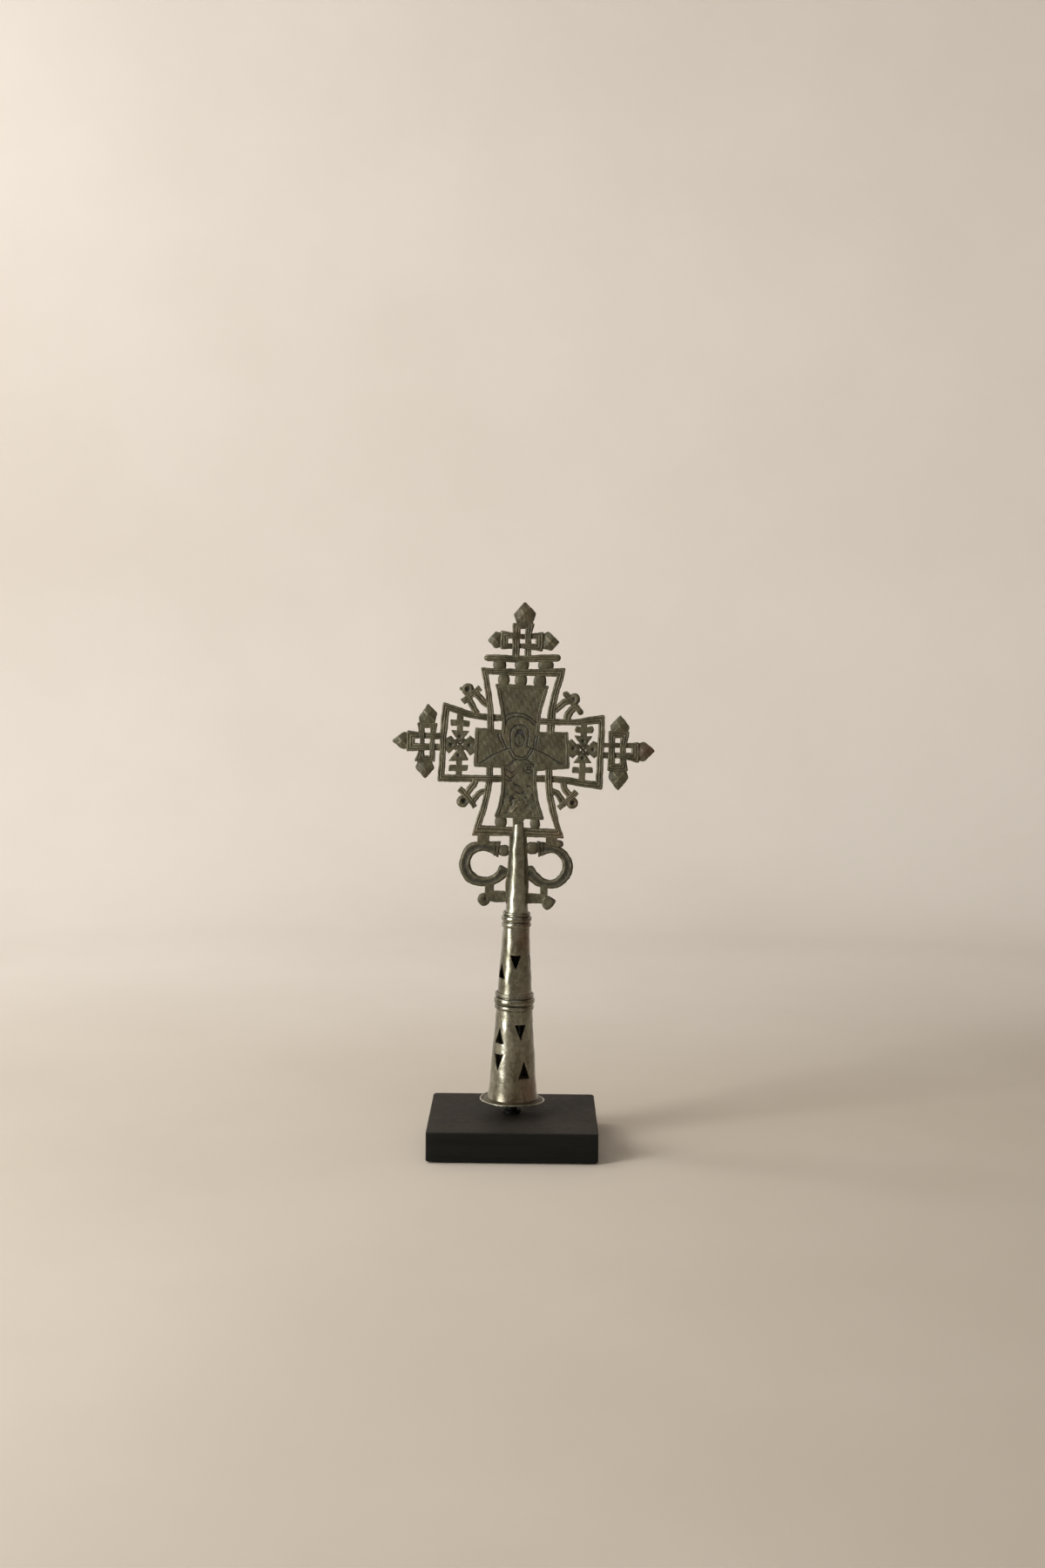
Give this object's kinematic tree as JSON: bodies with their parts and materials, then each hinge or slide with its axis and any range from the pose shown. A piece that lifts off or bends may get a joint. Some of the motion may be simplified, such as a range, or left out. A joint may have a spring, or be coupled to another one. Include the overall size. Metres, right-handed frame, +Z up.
{
  "type": "ethiopian cross",
  "caption": "Openwork cast cross on a tapered shaft of sheet-metal tubes with wire collars, standing on a rod in a block; it turns on the rod and lifts off.",
  "frame": {"origin": "middle of the base's underside, on the surface that it stands on", "axes": "+Z up, +X to the right as seen from the front, the cross's engraved front faces -Y; the rod and the cross lean 0.9 degrees towards +X"},
  "size_m": [0.1863, 0.11, 0.3886],
  "materials": {
    "dark_bronze": "dark olive-brown patina, ridges rubbed lighter",
    "silvered_brass": "worn silvery sheet, tarnished brown",
    "black_wood": "matt black stain",
    "brown_wood": "bare",
    "felt": "felt",
    "black_steel": "matt black",
    "plain_steel": "zinc plated",
    "tan_leather": "raw"
  },
  "bodies": {
    "stand": {"base_block": "black_wood", "base_felt": "felt", "mounting_rod": "black_steel", "rod_washer": "plain_steel", "rod_nut": "plain_steel"},
    "rod_tip": {"rod_cap": "tan_leather"},
    "cross": {"socket_plug": "brown_wood", "mouth_flange": "silvered_brass", "flange_rim_wire": "silvered_brass", "lower_tube": "silvered_brass", "lower_collar_lower_wire": "silvered_brass", "lower_collar_band": "silvered_brass", "lower_collar_top_wire": "silvered_brass", "middle_tube": "silvered_brass", "upper_collar_lower_wire": "silvered_brass", "upper_collar_band": "silvered_brass", "upper_collar_top_wire": "silvered_brass", "upper_tube": "silvered_brass", "cross_head": "dark_bronze"}
  },
  "joints": [
    {"name": "cross_turn", "type": "hinge", "parent": "stand", "child": "rod_tip", "pos_m": [-0.0009, 0, 0.022], "axis": [0.0157, 0, 0.9999], "continuous": true},
    {"name": "cross_lift", "type": "slide", "parent": "rod_tip", "child": "cross", "axis": [0.0157, 0, 0.9999], "range_m": [0, 0.13]}
  ]
}
